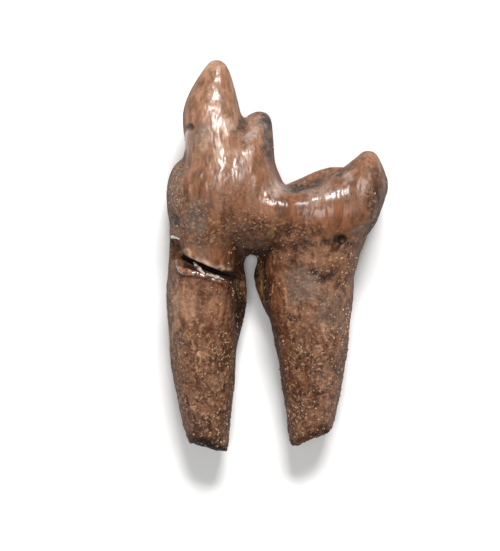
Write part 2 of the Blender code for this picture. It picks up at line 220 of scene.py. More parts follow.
# %% [markdown]
# ## Carving by code
#
# A sculptor would push and pull this surface with brushes. Here each brush is a line of numpy: a
# mask that says where, and a depth that says how much, along the skin's normal. Enamel gets faint
# folds that run up to the cusps. Roots get lumps and a fine grain, and their broken ends are rough.
# Chips are small dents, seams are thin raised lines, and creases are shallow grooves. The bare patch
# of broken root at the left end of the break is scooped out and roughened.
#
# An oval mark is given by its middle pixel, half its width, half its height and its turn in degrees.
# A chip adds its depth. A seam is a line of pixels and its height, and a crease has a depth and a
# width. A layer of relief is its depth, the width of its lumps, its seed, and its stretch if it has
# one. A root end is a sloping line, by the X and Y of a point on it and its slope.

# %% Brushes
BROKEN_PATCH = [(173, 249, 8.5, 11.5, 20.0)]
CHIPS = [(173, 222, 5.0, 9.0, 10.0, 0.16), (188, 130, 4.0, 3.5, 0.0, 0.08),
         (341, 240, 4.5, 4.0, 0.0, 0.16), (349, 245, 3.0, 2.4, 20.0, 0.10),
         (372, 226, 4.0, 3.0, 35.0, 0.10), (366, 236, 3.4, 2.6, 30.0, 0.10),
         (198, 320, 9.0, 7.0, 0.0, 0.05), (206, 300, 10.0, 8.0, 30.0, 0.05),
         (322, 338, 12.0, 9.0, 20.0, 0.06), (305, 395, 7.0, 12.0, 0.0, 0.05),
         (312, 273, 5.0, 3.5, 20.0, 0.10), (322, 281, 6.0, 4.0, 30.0, 0.10),
         (289, 262, 4.0, 3.0, 0.0, 0.07), (199, 392, 8.0, 10.0, 0.0, 0.05)]
SEAMS = [([(185, 282), (184, 293)], 0.05), ([(182, 303), (188, 312)], 0.03),
         ([(187, 317), (189, 325)], 0.08), ([(190, 332), (194, 345), (196, 358), (198, 373)], 0.05),
         ([(281, 278), (285, 290), (286, 306), (286, 319)], 0.04), ([(273, 284), (271, 300)], 0.03),
         ([(322, 326), (326, 342)], 0.04), ([(344, 358), (348, 362)], 0.07),
         ([(312, 262), (326, 259), (338, 262)], 0.04), ([(204, 357), (207, 353)], 0.07),
         ([(272, 230), (273, 238)], 0.06), ([(346, 250), (349, 254)], 0.06),
         ([(211, 242), (213, 240)], 0.04), ([(209, 343), (212, 340)], 0.06)]
CREASES = [([(243, 122), (245, 133), (243, 148)], 0.03, 0.12),
           ([(286, 188), (296, 193), (312, 187), (334, 174), (352, 165)], 0.05, 0.12)]
SEAM_WIDTH = 0.042
ENAMEL_RELIEF = [(0.020, 0.55, 1.0, (1.0, 1.8, 1.0)), (0.004, 0.22, 2.0)]
ROOT_RELIEF = [(0.030, 0.60, 5.0), (0.022, 0.24, 6.0), (0.016, 0.30, 8.0, (0.6, 3.0, 0.6))]
PATCH_SCOOP = 0.26
PATCH_RELIEF = [(0.14, 0.35, 9.0), (0.10, 0.16, 10.0)]
PATCH_SOFTNESS = 0.25
CARVED_SIDE = (-0.1, 0.35)
FRONT_END = (-3.8, -10.45, -0.28)
BACK_END = (1.9, -10.0, 0.34)
BETWEEN_ROOTS = -1.2
END_REACH = 0.45
END_RAGGED = 0.13
END_LUMPS = (0.34, 12.0)


def root_ends(points):
    """1 at the broken ends of the roots, and 0 from END_REACH above them."""
    front, back = (y + slope * (points[:, 0] - x) for x, y, slope in (FRONT_END, BACK_END))
    ends = np.where(points[:, 0] < BETWEEN_ROOTS, front, back)
    return ease(points[:, 1] - ends, END_REACH, 0.0)


def carve(mesh, enamel):
    points, normals = points_of(mesh), normals_of(mesh)
    facing = ease(normals[:, 2], *CARVED_SIDE)
    lift = layered(points, ENAMEL_RELIEF) * enamel + layered(points, ROOT_RELIEF) * (1.0 - enamel)
    for px, py, wide, high, turn, depth in CHIPS:
        lift -= depth * dab(points, px, py, wide, high, turn) * facing
    for px, py, wide, high, turn in BROKEN_PATCH:
        patch = dab(points, px, py, wide, high, turn, PATCH_SOFTNESS) * facing
        lift -= patch * (PATCH_SCOOP + layered(points, PATCH_RELIEF))
    for pixels, height in SEAMS:
        lift += height * ridge(points, pixels, SEAM_WIDTH) * facing
    for pixels, depth, width in CREASES:
        lift -= depth * ridge(points, pixels, width) * facing
    lift -= END_RAGGED * root_ends(points) * (0.5 + field(points, *END_LUMPS))
    set_points(mesh, points + normals * lift[:, None])


carve(tooth, enamel)
print("carved; highest point now, mm:", round(float(points_of(tooth)[:, 2].max()), 2))


# %% [markdown]
# ## The break across the front root
#
# The front root was once snapped off and glued back. The crown's side of the break stands over it
# with a sharp pale lip, and a black gap runs under the lip. The smoothing above softened the gap,
# so it is cut again, with a wedge whose walls are rough. A Boolean cut gives the crisp edge that a
# brush can't.
#
# The gap's line gives a pixel and half the gap's width in pixels, and the floor gives the Z under
# each of them in mm. The gap is narrow at its floor, and has its full width from a third of the way
# up. Its two walls read the noise far apart, so they aren't rough in the same places.

# %% The wedge that opens the break
GAP_LINE = [(179, 253, 0.5), (184, 258, 1.7), (190, 261, 2.4), (204, 267, 2.7), (214, 271, 2.4),
            (223, 274, 2.2), (234, 277, 1.6), (243, 280, 0.7)]
GAP_FLOOR = [4.9, 4.8, 4.8, 4.8, 4.7, 4.6, 4.4, 4.2]
GAP_TOP = 7.2
GAP_STEPS = 5
GAP_LEVELS = 7
GAP_LEAST_HALF = 0.015
FLOOR_WIDTH = 0.35
WIDENING = 3.0
WALL_ROUGHNESS = 0.05
WALL_LUMPS = 0.35
WALL_SHIFT = 20


def gap_rings():
    """Rings across the gap: each runs up one wall, over the top and down the other."""
    table = [(*on_tooth(px, py), half * MM_PER_PIXEL, floor)
             for (px, py, half), floor in zip(GAP_LINE, GAP_FLOOR)]
    rows = []
    for start, end in zip(table, table[1:]):
        rows += [[a + (b - a) * i / GAP_STEPS for a, b in zip(start, end)] for i in range(GAP_STEPS)]
    rows.append(list(table[-1]))
    rings = []
    for i, (x, y, half, floor) in enumerate(rows):
        before, after = rows[max(i - 1, 0)], rows[min(i + 1, len(rows) - 1)]
        side = Vector((before[1] - after[1], after[0] - before[0], 0)).normalized()
        ring = []
        for sign in (1, -1):
            for level in range(GAP_LEVELS):
                up = level / (GAP_LEVELS - 1) if sign == 1 else 1 - level / (GAP_LEVELS - 1)
                z = floor + (GAP_TOP - floor) * up
                rough = noise.noise(Vector((x, y, z + WALL_SHIFT * sign)) / WALL_LUMPS)
                width = FLOOR_WIDTH + (1.0 - FLOOR_WIDTH) * min(1.0, up * WIDENING)
                reach = max(half * width + WALL_ROUGHNESS * rough, GAP_LEAST_HALF)
                ring.append(Vector((x, y, z)) + side * sign * reach)
        rings.append(ring)
    return rings


def wedge(rings):
    """A closed solid through the rings, capped at both ends."""
    bm = bmesh.new()
    rings = [[bm.verts.new(p) for p in ring] for ring in rings]
    count = len(rings[0])
    for low, high in zip(rings, rings[1:]):
        for i in range(count):
            j = (i + 1) % count
            bm.faces.new((low[i], low[j], high[j], high[i]))
    bm.faces.new(rings[0])
    bm.faces.new(rings[-1])
    bmesh.ops.triangulate(bm, faces=bm.faces)
    bmesh.ops.recalc_face_normals(bm, faces=bm.faces)
    mesh = bpy.data.meshes.new("wedge")
    bm.to_mesh(mesh)
    bm.free()
    return piece_from(mesh, "wedge")


def open_the_break(mesh):
    obj, cutter = piece_from(mesh, "opened"), wedge(gap_rings())
    cut = obj.modifiers.new("gap", "BOOLEAN")
    cut.operation = "DIFFERENCE"
    cut.object = cutter
    cut.solver = "MANIFOLD"
    opened = taken_off(obj, "tooth")
    bpy.data.objects.remove(cutter)
    return opened


tooth = open_the_break(tooth)
print("after the break is opened:", len(tooth.vertices), "points")


# %% [markdown]
# ## Stains and marks as attributes
#
# Minerals stained this tooth unevenly. Each kind of stain is one value a point, stored on the mesh
# under a plain name, and the material mixes its colour in by it. Some marks are painted light as
# well: painted shade among the dark marks, painted sheen among the pale and milky ones, and a
# painted shadow with the glue film. Soft oval dabs put the large marks where they are. The points
# are shaken by noise before they read the dabs, and the material's own noise frays them further,
# so no dab shows as an oval. How far a point lies below the smoothed surface round it says how
# hollow it is there, and the hollows are coloured darker.
#
# A dab is an oval mark as above, with its strength at the end.

# %% The stains
# Dark marks: stains, chips, spots and the pulp canals at the root ends, and also painted shade in the fork
# between the roots, in the heel's basin, along the heel's right side and under the gap's lip.
DARK_STAINS_AND_SHADE = [(190, 129, 6.0, 4.5, 10, 0.95), (176, 223, 5.5, 9.0, 20, 0.95), (371, 228, 7.0, 8.0, 40, 0.7),
        (258, 253, 16.0, 6.0, 4, 0.8), (341, 241, 5.5, 5.0, 0, 1.0), (305, 246, 48.0, 6.0, 2, 0.6),
        (266, 122, 9.0, 8.0, -40, 0.95), (267, 146, 6.0, 20.0, 0, 0.65), (374, 196, 13.0, 32.0, 0, 0.6),
        (189, 264, 6.0, 2.8, -30, 0.9), (199, 269, 8.0, 2.8, -25, 0.9), (212, 275, 8.0, 2.4, -20, 0.9),
        (209, 446, 20.0, 5.0, -10, 1.0), (334, 434, 9.0, 5.0, 28, 1.0), (322, 276, 16.0, 8.0, -10, 0.6),
        (232, 212, 5.0, 7.0, 20, 0.45), (252, 226, 9.0, 6.0, 0, 0.45), (222, 234, 7.0, 5.0, 0, 0.4),
        (290, 226, 6.0, 9.0, 0, 0.4), (318, 228, 4.0, 10.0, 0, 0.45), (301, 216, 3.0, 9.0, 0, 0.35),
        (300, 266, 30.0, 9.0, 0, 0.4), (208, 432, 24.0, 20.0, 0, 0.4), (318, 415, 26.0, 20.0, 0, 0.3),
        (350, 246, 22.0, 5.0, 15, 0.5), (237, 277, 9.0, 7.0, -20, 0.75), (240, 312, 6.0, 30.0, 3, 0.95),
        (232, 292, 6.0, 18.0, 0, 0.6), (255, 268, 4.0, 12.0, 0, 0.8), (318, 182, 34.0, 4.0, 22, 0.7),
        (262, 114, 12.0, 4.0, 0, 0.6), (318, 277, 12.0, 6.0, -15, 0.4),
        (381, 200, 7.0, 32.0, 0, 0.5), (269, 152, 4.5, 24.0, 0, 0.5), (241, 129, 5.0, 9.0, -30, 0.6),
        (300, 189, 14.0, 4.0, 15, 0.8), (345, 168, 14.0, 4.0, 40, 0.5), (293, 187, 7.0, 4.0, -30, 0.8),
        (206, 212, 5.0, 14.0, 0, 0.4), (242, 196, 4.0, 9.0, 0, 0.35), (217, 192, 4.0, 6.0, 0, 0.35)]
# Pale marks: paler enamel and root, and painted sheen along the main cusp where its highlights fall.
PALE_AND_SHEEN = [(215, 68, 8.0, 5.0, 0, 0.6), (213, 98, 7.0, 18.0, 0, 0.45), (187, 142, 4.5, 8.0, 0, 0.9),
        (225, 128, 7.0, 12.0, 0, 0.7), (206, 145, 5.0, 13.0, -12, 0.5), (228, 158, 12.0, 16.0, 0, 0.4),
        (325, 328, 7.0, 12.0, 0, 0.5), (186, 357, 6.0, 5.0, 0, 0.3), (188, 306, 14.0, 20.0, 0, 0.4),
        (201, 356, 3.0, 3.0, 0, 0.8), (175, 312, 5.0, 44.0, -4, 0.5)]
# Milky marks: a bluish-white film, with painted sheen round the highlights of the cusps and the heel.
MILKY_FILM_AND_SHEEN = [(252, 137, 6.0, 8.0, -30, 0.65), (187, 143, 5.0, 9.0, 0, 0.8), (226, 128, 6.0, 10.0, 0, 0.6),
         (204, 140, 7.0, 16.0, -10, 0.4), (277, 190, 14.0, 8.0, -20, 0.5), (322, 197, 24.0, 10.0, 22, 0.45),
         (345, 178, 10.0, 7.0, 30, 0.5), (228, 158, 14.0, 16.0, 0, 0.3)]
OCHRE = [(213, 222, 4.0, 14.0, 0, 0.5), (176, 195, 8.0, 22.0, 0, 0.35), (239, 294, 4.0, 9.0, 0, 0.8),
         (260, 286, 2.6, 9.0, 0, 0.9), (273, 234, 2.8, 4.5, 0, 0.95), (330, 262, 22.0, 5.0, 0, 0.35),
         (226, 340, 8.0, 22.0, 0, 0.3), (212, 88, 6.0, 12.0, 0, 0.3), (300, 188, 14.0, 3.0, 20, 0.6)]
GREY = [(196, 219, 12.0, 18.0, 0, 0.85), (204, 135, 12.0, 14.0, 0, 0.6), (303, 283, 21.0, 18.0, 0, 0.75),
        (174, 300, 8.0, 34.0, 0, 0.5), (196, 245, 18.0, 9.0, 0, 0.55), (262, 126, 9.0, 9.0, 0, 0.7),
        (176, 190, 8.0, 22.0, 0, 0.5), (376, 190, 8.0, 26.0, 0, 0.5), (318, 375, 10.0, 16.0, 0, 0.35),
        (240, 228, 22.0, 8.0, 0, 0.4), (329, 312, 16.0, 26.0, 0, 0.6), (322, 372, 14.0, 16.0, 0, 0.45)]
ORANGE = [(236, 195, 32.0, 26.0, 0, 0.6), (325, 222, 32.0, 14.0, 0, 0.6), (282, 215, 26.0, 16.0, 0, 0.5),
          (276, 300, 7.0, 36.0, -4, 0.6), (268, 262, 8.0, 9.0, 0, 0.6), (240, 262, 14.0, 6.0, 0, 0.4),
          (288, 378, 7.0, 48.0, 4, 0.8), (302, 378, 7.0, 16.0, 0, 0.5), (205, 318, 14.0, 26.0, 0, 0.4)]
# Glue film: the glossy film of glue below the break, and a painted shadow in the band under the bead.
GLUE_FILM_AND_SHADOW = [(193, 277.5, 12.0, 2.6, -6, 1.0), (217, 284, 16.0, 5.0, -14, 0.9), (187, 268, 7.0, 2.6, -25, 0.8),
         (270, 284, 4.0, 14.0, 0, 0.8), (262, 262, 8.0, 8.0, 0, 0.4)]
GRITTY = [(176, 200, 12.0, 36.0, 0, 0.9), (204, 226, 28.0, 20.0, 0, 0.8), (244, 226, 28.0, 18.0, 0, 0.75),
          (300, 234, 44.0, 12.0, 0, 0.7), (372, 215, 12.0, 26.0, 0, 0.6), (312, 180, 30.0, 4.0, 22, 0.6),
          (236, 196, 26.0, 14.0, 0, 0.35)]
LIP_LINE = [(185, 252), (190, 256), (200, 260.5), (212, 265.5), (220, 267.5), (229, 270)]
SHADED_LINE = [(182, 258), (187, 263), (194, 267), (203, 271.5), (212, 275), (221, 278)]
POLISHED = [(215, 68, 9.0, 6.0, 0, 0.6), (216, 80, 5.0, 7.0, 0, 0.9), (215, 100, 8.0, 16.0, 0, 1.0),
            (225, 128, 9.0, 14.0, 8, 1.0), (206, 145, 4.0, 14.0, -12, 0.9), (231, 156, 13.0, 20.0, 0, 0.95),
            (253, 138, 9.0, 15.0, -20, 1.0), (273, 193, 16.0, 11.0, -22, 1.0),
            (322, 202, 24.0, 12.0, 20, 1.0), (366, 172, 4.0, 8.0, 15, 0.9), (346, 184, 7.0, 8.0, 0, 0.5),
            (190, 145, 5.0, 12.0, 0, 0.6), (200, 168, 4.0, 10.0, 0, 0.5)]


# %% [markdown]
# How the marks fade is given in pairs: the value at which a mark is 0, and the one at which it is
# full. Gap pairs are mm from the gap's edge, the reach of the shade is mm from its line, and slopes
# and sides are the Z of the normal. The wall's height is in Z and the grit's in Y, both in mm.

# %% How the stains fade
STAIN_SOFTNESS = 0.6
STAINED_SIDE = (-0.5, 0.1)
SHAKE_X = [(0.30, 0.9, 21.0), (0.12, 0.3, 22.0)]
SHAKE_Y = [(0.30, 0.9, 23.0), (0.12, 0.3, 24.0)]
HOLLOW_ROUNDS = 10
HOLLOW_DEPTH = 0.05
BLACK_FROM = 182
BLACK_GAP = (0.05, -0.02)
BLACK_WALL_GAP = (0.20, 0.10)
WALL_SLOPE = (0.85, 0.55)
WALL_HEIGHT = (3.6, 4.4)
PATCH_GAP = (0.0, 0.14)
SHADE = 0.95
SHADE_REACH = (0.32, 0.16)
END_STRENGTH = 0.9
FLANK_SHADE_SLOPE = (0.62, 0.05)
LIP_WIDTH = 0.10
LIP_STRENGTH = 0.7
LIP_UNEVEN = [(0.6, 0.5, 25.0)]
GRIT_LEAST = 0.4
GRIT_HEIGHT = (-1.6, -6.0)
SEAM_LUMPS = (0.2, 26.0)
SEAM_BREAKS = (-0.35, 0.15)
POLISH_ELSEWHERE = 0.03


def stain(points, dabs, facing):
    """The strongest of the dabs at each point, on the side that faces up."""
    total = np.zeros(len(points))
    for px, py, wide, high, turn, strength in dabs:
        mark = dab(points, px, py, wide, high, turn, STAIN_SOFTNESS)
        total = np.maximum(total, strength * mark)
    return total * facing


def store(mesh, name, values):
    """Keeps one value a point on the mesh, under a name that the material can read."""
    mark = mesh.attributes.get(name) or mesh.attributes.new(name, "FLOAT", "POINT")
    mark.data.foreach_set("value", np.clip(values, 0.0, 1.0).astype(np.float32))


def hollowness(mesh):
    """How far each point lies below the surface smoothed over its neighbours, from 0 to 1."""
    edges = np.empty(len(mesh.edges) * 2, np.int32)
    mesh.edges.foreach_get("vertices", edges)
    a, b = edges.reshape(-1, 2).T
    points, normals = points_of(mesh), normals_of(mesh)
    count = np.bincount(a, minlength=len(points)) + np.bincount(b, minlength=len(points))
    soft = points.copy()
    for _ in range(HOLLOW_ROUNDS):
        total = np.zeros_like(soft)
        for axis in range(3):
            total[:, axis] = np.bincount(a, soft[b, axis], len(points))
            total[:, axis] += np.bincount(b, soft[a, axis], len(points))
        soft = total / count[:, None]
    below = ((soft - points) * normals).sum(axis=1)
    return np.clip(below / HOLLOW_DEPTH, 0.0, 1.0)


def shaken(points):
    """The points moved by noise in X and Y, so that a mark that they read has a ragged edge."""
    moved = points.copy()
    moved[:, 0] += layered(points, SHAKE_X)
    moved[:, 1] += layered(points, SHAKE_Y)
    return moved


def distance_to_gap(points):
    """Distance in mm, in X and Y, to the edge of the gap; it is below 0 in the gap."""
    middle = distance_to_line(points, [(px, py) for px, py, _ in GAP_LINE if px > BLACK_FROM])
    gap_x = [on_tooth(px, py)[0] for px, py, _ in GAP_LINE]
    half = np.interp(points[:, 0], gap_x, [half for _, _, half in GAP_LINE])
    return middle - half * MM_PER_PIXEL


def stain_the_break(mesh, points, normals, ragged, facing):
    """The gap painted black as shade, the bare root round it and at the broken ends, and a painted shadow
    under the gap's lip.
    """
    gap = distance_to_gap(points)
    wall = ease(normals[:, 2], *WALL_SLOPE) * ease(points[:, 2], *WALL_HEIGHT)
    # Painted shade: the gap, and the steep high walls inside it, are coloured near black.
    store(mesh, "fissure_shade", np.maximum(ease(gap, *BLACK_GAP), ease(gap, *BLACK_WALL_GAP) * wall))
    patch = ease(gap, *PATCH_GAP) * stain(ragged, [(*p, 1.0) for p in BROKEN_PATCH], facing)
    # Painted shadow: a dark band under the gap's lip, stored with the bare root.
    shaded = SHADE * ease(distance_to_line(ragged, SHADED_LINE), *SHADE_REACH) * facing
    ends = END_STRENGTH * root_ends(ragged)
    store(mesh, "broken_root_and_shadow", np.maximum(np.maximum(ends, patch), shaded))


def stain_the_tooth(mesh):
    points, normals = points_of(mesh), normals_of(mesh)
    ragged = shaken(points)
    facing = ease(normals[:, 2], *STAINED_SIDE)
    enamel_now = enamel_share(points)
    store(mesh, "enamel", enamel_now)
    for name, dabs in (("dark_stain_and_shade", DARK_STAINS_AND_SHADE), ("pale_and_sheen", PALE_AND_SHEEN), ("milky_film_and_sheen", MILKY_FILM_AND_SHEEN), ("ochre", OCHRE),
                       ("grey", GREY), ("orange", ORANGE), ("glue_film_and_shadow", GLUE_FILM_AND_SHADOW)):
        store(mesh, name, stain(ragged, dabs, facing))
    lip = ridge(ragged, LIP_LINE, LIP_WIDTH) * facing
    store(mesh, "lip", lip * (LIP_STRENGTH + layered(points, LIP_UNEVEN)))
    store(mesh, "hollow", hollowness(mesh))
    stain_the_break(mesh, points, normals, ragged, facing)
    # Painted shade: the material darkens the flanks, where the normal turns away from up.
    store(mesh, "painted_flank_shade", ease(normals[:, 2], *FLANK_SHADE_SLOPE))
    grit = GRIT_LEAST + (1.0 - GRIT_LEAST) * ease(points[:, 1], *GRIT_HEIGHT)
    root_grit = (1.0 - enamel_now) * grit
    store(mesh, "grit", np.maximum(root_grit, stain(ragged, GRITTY, facing)))
    store(mesh, "polish", np.maximum(POLISH_ELSEWHERE, stain(ragged, POLISHED, facing)))
    seams = [ridge(points, line, SEAM_WIDTH) for line, _ in SEAMS]
    broken_up = ease(field(points, *SEAM_LUMPS), *SEAM_BREAKS)
    store(mesh, "seam", np.max(seams, axis=0) * facing * broken_up)


stain_the_tooth(tooth)
print("stored:", ", ".join(a.name for a in tooth.attributes if a.data_type == "FLOAT"))


# %% [markdown]
# ## The tooth's material
#
# One material covers crown and root, because they grade into each other at the neck. It is built
# from noise on Object coordinates, counted in millimetres: streaks up the enamel, mottling and
# fibres on the roots, and painted shade on the flanks where the skin turns away. The stains from
# the attributes come over that, then grains and pits in patches. The worn parts of the enamel are
# polished with a clear coat, and slow waves in it break its highlights up, roughly as in the
# photograph.

# %% Small helpers for shader nodes
class Recipe:
    """A material's node tree, built with short calls."""

    def __init__(self, name):
        self.material = bpy.data.materials.new(name)
        self.material.use_nodes = True
        self.tree = self.material.node_tree
        self.shader = self.tree.nodes["Principled BSDF"]
        place = self.node("ShaderNodeTexCoord").outputs["Object"]
        self.mm = self.node("ShaderNodeMapping")
        self.mm.inputs["Scale"].default_value = (1 / MM,) * 3
        self.tree.links.new(place, self.mm.inputs["Vector"])

    def node(self, kind, **settings):
        node = self.tree.nodes.new(kind)
        for key, value in settings.items():
            setattr(node, key, value)
        return node

    def feed(self, socket, value):
        if isinstance(value, bpy.types.NodeSocket):
            self.tree.links.new(value, socket)
        else:
            socket.default_value = value

    def attribute(self, name):
        return self.node("ShaderNodeAttribute", attribute_name=name).outputs["Fac"]

    def height(self):
        """Millimetres up the tooth, from the root ends to the cusps."""
        split = self.node("ShaderNodeSeparateXYZ")
        self.tree.links.new(self.mm.outputs[0], split.inputs[0])
        return split.outputs["Y"]

    def math(self, operation, a, b=0.0, clamp=False):
        node = self.node("ShaderNodeMath", operation=operation, use_clamp=clamp)
        self.feed(node.inputs[0], a)
        self.feed(node.inputs[1], b)
        return node.outputs[0]

    def grain(self, per_mm, detail=4.0, rough=0.55, stretch=(1, 1, 1), distortion=0.0):
        """Noise with about per_mm lumps a millimetre, from 0 to 1."""
        turn = self.node("ShaderNodeMapping")
        turn.inputs["Scale"].default_value = stretch
        self.tree.links.new(self.mm.outputs[0], turn.inputs["Vector"])
        node = self.node("ShaderNodeTexNoise")
        self.tree.links.new(turn.outputs[0], node.inputs["Vector"])
        node.inputs["Scale"].default_value = per_mm
        node.inputs["Detail"].default_value = detail
        node.inputs["Roughness"].default_value = rough
        node.inputs["Distortion"].default_value = distortion
        return node.outputs["Fac"]

    def step(self, value, low, high):
        """0 below low, 1 above high, smooth between."""
        node = self.node("ShaderNodeMapRange", interpolation_type="SMOOTHSTEP")
        self.feed(node.inputs["Value"], value)
        node.inputs["From Min"].default_value = low
        node.inputs["From Max"].default_value = high
        return node.outputs["Result"]

    def mix(self, share, under, over):
        """Colour under, with colour over laid on it by share."""
        node = self.node("ShaderNodeMix", data_type="RGBA")
        self.feed(node.inputs["Factor"], share)
        self.feed(node.inputs["A"], under)
        self.feed(node.inputs["B"], over)
        return node.outputs["Result"]

    def lay(self, tone, base, mask, strength):
        """A tone laid over the base where the mask is, at most by strength."""
        return self.mix(self.math("MULTIPLY", mask, strength), base, tone)

    def blend(self, share, under, over):
        """A value between under and over, by share."""
        node = self.node("ShaderNodeMix", data_type="FLOAT")
        self.feed(node.inputs["Factor"], share)
        self.feed(node.inputs["A"], under)
        self.feed(node.inputs["B"], over)
        return node.outputs["Result"]

    def bump(self, height, distance_mm, below=None):
        """A normal bent by a height from 0 to 1, over another normal if one is given."""
        node = self.node("ShaderNodeBump")
        node.inputs["Strength"].default_value = 1.0
        node.inputs["Distance"].default_value = distance_mm * MM
        self.feed(node.inputs["Height"], height)
        if below is not None:
            self.feed(node.inputs["Normal"], below)
        return node.outputs["Normal"]


def colour(red, green, blue):
    """A display colour from 0 to 255 as the linear value that a shader takes."""
    return tuple(((c / 255 + 0.055) / 1.055) ** 2.4 for c in (red, green, blue)) + (1.0,)


# %% Fossil enamel and root
def crown_colour(r, streaks, blotches):
    """Warm brown enamel, paler towards the cusps, with streaks that run up to them."""
    hairs = r.grain(7.0, 3.0, 0.6, (1.0, 0.20, 1.0), 0.3)
    low = r.mix(r.step(streaks, 0.30, 0.68), colour(84, 50, 31), colour(138, 92, 64))
    high = r.mix(r.step(streaks, 0.30, 0.66), colour(118, 84, 63), colour(162, 120, 94))
    crown = r.mix(r.step(r.height(), 2.2, 7.5), low, high)
    crown = r.lay(colour(100, 74, 56), crown, r.step(blotches, 0.45, 0.70), 0.5)
    crown = r.lay(colour(128, 78, 48), crown, r.attribute("orange"), r.step(streaks, 0.30, 0.70))
    return r.lay(colour(80, 49, 31), crown, r.step(hairs, 0.52, 0.66), 0.5)


def root_colour(r, mottle, blotches):
    """Mottled red-brown and grey-brown root, with pale fibres along it."""
    clouds = r.grain(0.55, 4.0, 0.6)
    fibres = r.grain(3.6, 5.0, 0.65, (1.0, 0.18, 1.0), 0.5)
    blotched = r.mix(r.step(blotches, 0.38, 0.62), colour(78, 45, 29), colour(128, 86, 62))
    root = r.mix(r.step(mottle, 0.40, 0.60), colour(72, 40, 25), colour(138, 96, 70))
    root = r.mix(r.step(clouds, 0.42, 0.66), root, blotched)
    root = r.lay(colour(140, 104, 80), root, r.step(fibres, 0.50, 0.64), 0.4)
    return r.lay(colour(116, 64, 34), root, r.attribute("orange"), 0.7)


def with_stains(r, base, streaks):
    """The stains, from the broad to the small; noise breaks each of them up and frays its edge."""
    ragged = r.step(r.grain(3.6, 6.0, 0.66), 0.32, 0.68)
    for name, tone in (
        ("grey", r.mix(streaks, colour(80, 66, 58), colour(130, 107, 93))),
        ("ochre", colour(138, 104, 60)),
        ("pale_and_sheen", colour(188, 148, 118)),
        # Pale tone, partly painted sheen on the main cusp.
        ("milky_film_and_sheen", r.mix(streaks, colour(140, 118, 108), colour(206, 188, 176))),
        # Bluish-white film and painted sheen.
        ("glue_film_and_shadow", colour(82, 38, 22)),
        # Dark stains, with painted shade in the fork, the basin and under the gap's lip.
        # Glue film, with a painted shadow under the bead.
        ("dark_stain_and_shade", colour(36, 22, 14)),
    ):
        mark = r.attribute(name)
        share = r.step(r.math("ADD", mark, r.math("MULTIPLY", ragged, mark)), 0.25, 1.45)
        base = r.mix(share, base, tone)
    return base


def with_grit(r, base, gritty):
    """Pale grains and dark pits of two sizes, where the surface is gritty."""
    for per_mm, strength in ((3.4, 0.50), (6.0, 1.0)):
        grit = r.grain(per_mm, 2.0, 0.6)
        specks = r.math("MULTIPLY", r.step(grit, 0.58, 0.64), gritty)
        dots = r.math("MULTIPLY", r.step(grit, 0.42, 0.33), gritty)
        base = r.lay(colour(178, 142, 112), base, specks, strength)
        base = r.lay(colour(44, 26, 17), base, dots, strength)
    return base


def with_marks(r, base, mottle):
    """Darker hollows, pale seams, the pale lip, bare root and a painted shadow under the gap's lip, and
    painted shade in the gap.
    """
    base = r.lay(colour(44, 26, 16), base, r.attribute("hollow"), 0.7)
    base = r.lay(colour(204, 152, 102), base, r.attribute("seam"), 0.6)
    base = r.lay(colour(190, 160, 136), base, r.attribute("lip"), 0.9)
    paler = r.math("SUBTRACT", r.step(mottle, 0.35, 0.65), r.attribute("dark_stain_and_shade"), clamp=True)
    bare = r.mix(paler, colour(38, 19, 9), colour(112, 66, 32))
    # The bare root at the break and the root ends, and the painted shadow under the gap's lip.
    base = r.mix(r.attribute("broken_root_and_shadow"), base, bare)
    # Painted shade: the gap is coloured near black.
    return r.mix(r.attribute("fissure_shade"), base, colour(36, 19, 12))


def set_gloss(r, enamel, blotches):
    """A dull sheen all over, with a polish like a clear coat on worn enamel and on glue."""
    worn = r.blend(r.step(blotches, 0.35, 0.65), 0.28, 0.40)
    dullness = r.blend(enamel, 0.48, worn)
    torn = r.math("MAXIMUM", r.attribute("broken_root_and_shadow"), r.attribute("fissure_shade"))
    torn = r.math("MAXIMUM", torn, r.attribute("painted_flank_shade"))
    r.feed(r.shader.inputs["Roughness"], r.blend(torn, dullness, 0.8))
    r.shader.inputs["Specular IOR Level"].default_value = 0.19
    polish = r.math("MAXIMUM", r.attribute("polish"), r.attribute("glue_film_and_shadow"))
    r.feed(r.shader.inputs["Coat Weight"], r.math("MULTIPLY", polish, 0.8))
    r.shader.inputs["Coat Roughness"].default_value = 0.22
    r.shader.inputs["Coat IOR"].default_value = 1.5


def set_bump(r, gritty):
    """Slow waves all over, and over them pits where the surface is gritty."""
    waves = r.bump(r.grain(1.5, 2.0, 0.5, (1.0, 0.40, 1.0)), 0.15)
    r.feed(r.shader.inputs["Coat Normal"], waves)
    pits = r.math("MULTIPLY", r.grain(6.5, 4.0, 0.7), gritty)
    r.feed(r.shader.inputs["Normal"], r.bump(pits, 0.20, below=waves))


def tooth_finish():
    r = Recipe("fossil_tooth_finish")
    enamel = r.attribute("enamel")
    streaks = r.grain(2.6, 5.0, 0.62, (1.0, 0.24, 1.0), 0.3)
    blotches = r.grain(1.5, 4.0, 0.6, (1.0, 0.6, 1.0), 0.6)
    mottle = r.grain(1.6, 7.0, 0.68, (1.0, 0.7, 1.0), 0.5)
    patchy = r.blend(r.step(r.grain(0.8, 3.0), 0.40, 0.60), 0.5, 1.0)
    gritty = r.math("MULTIPLY", r.attribute("grit"), patchy)
    base = r.mix(enamel, root_colour(r, mottle, blotches), crown_colour(r, streaks, blotches))
    # Painted shade laid on the flanks, where the skin turns away.
    base = r.lay(colour(62, 39, 25), base, r.attribute("painted_flank_shade"), 0.40)
    base = with_stains(r, base, streaks)
    base = with_grit(r, base, gritty)
    base = with_marks(r, base, mottle)
    r.feed(r.shader.inputs["Base Color"], base)
    set_gloss(r, enamel, blotches)
    set_bump(r, gritty)
    return r.material


tooth.materials.clear()
tooth.materials.append(tooth_finish())
print("nodes in the tooth's material:", len(tooth.materials[0].node_tree.nodes))


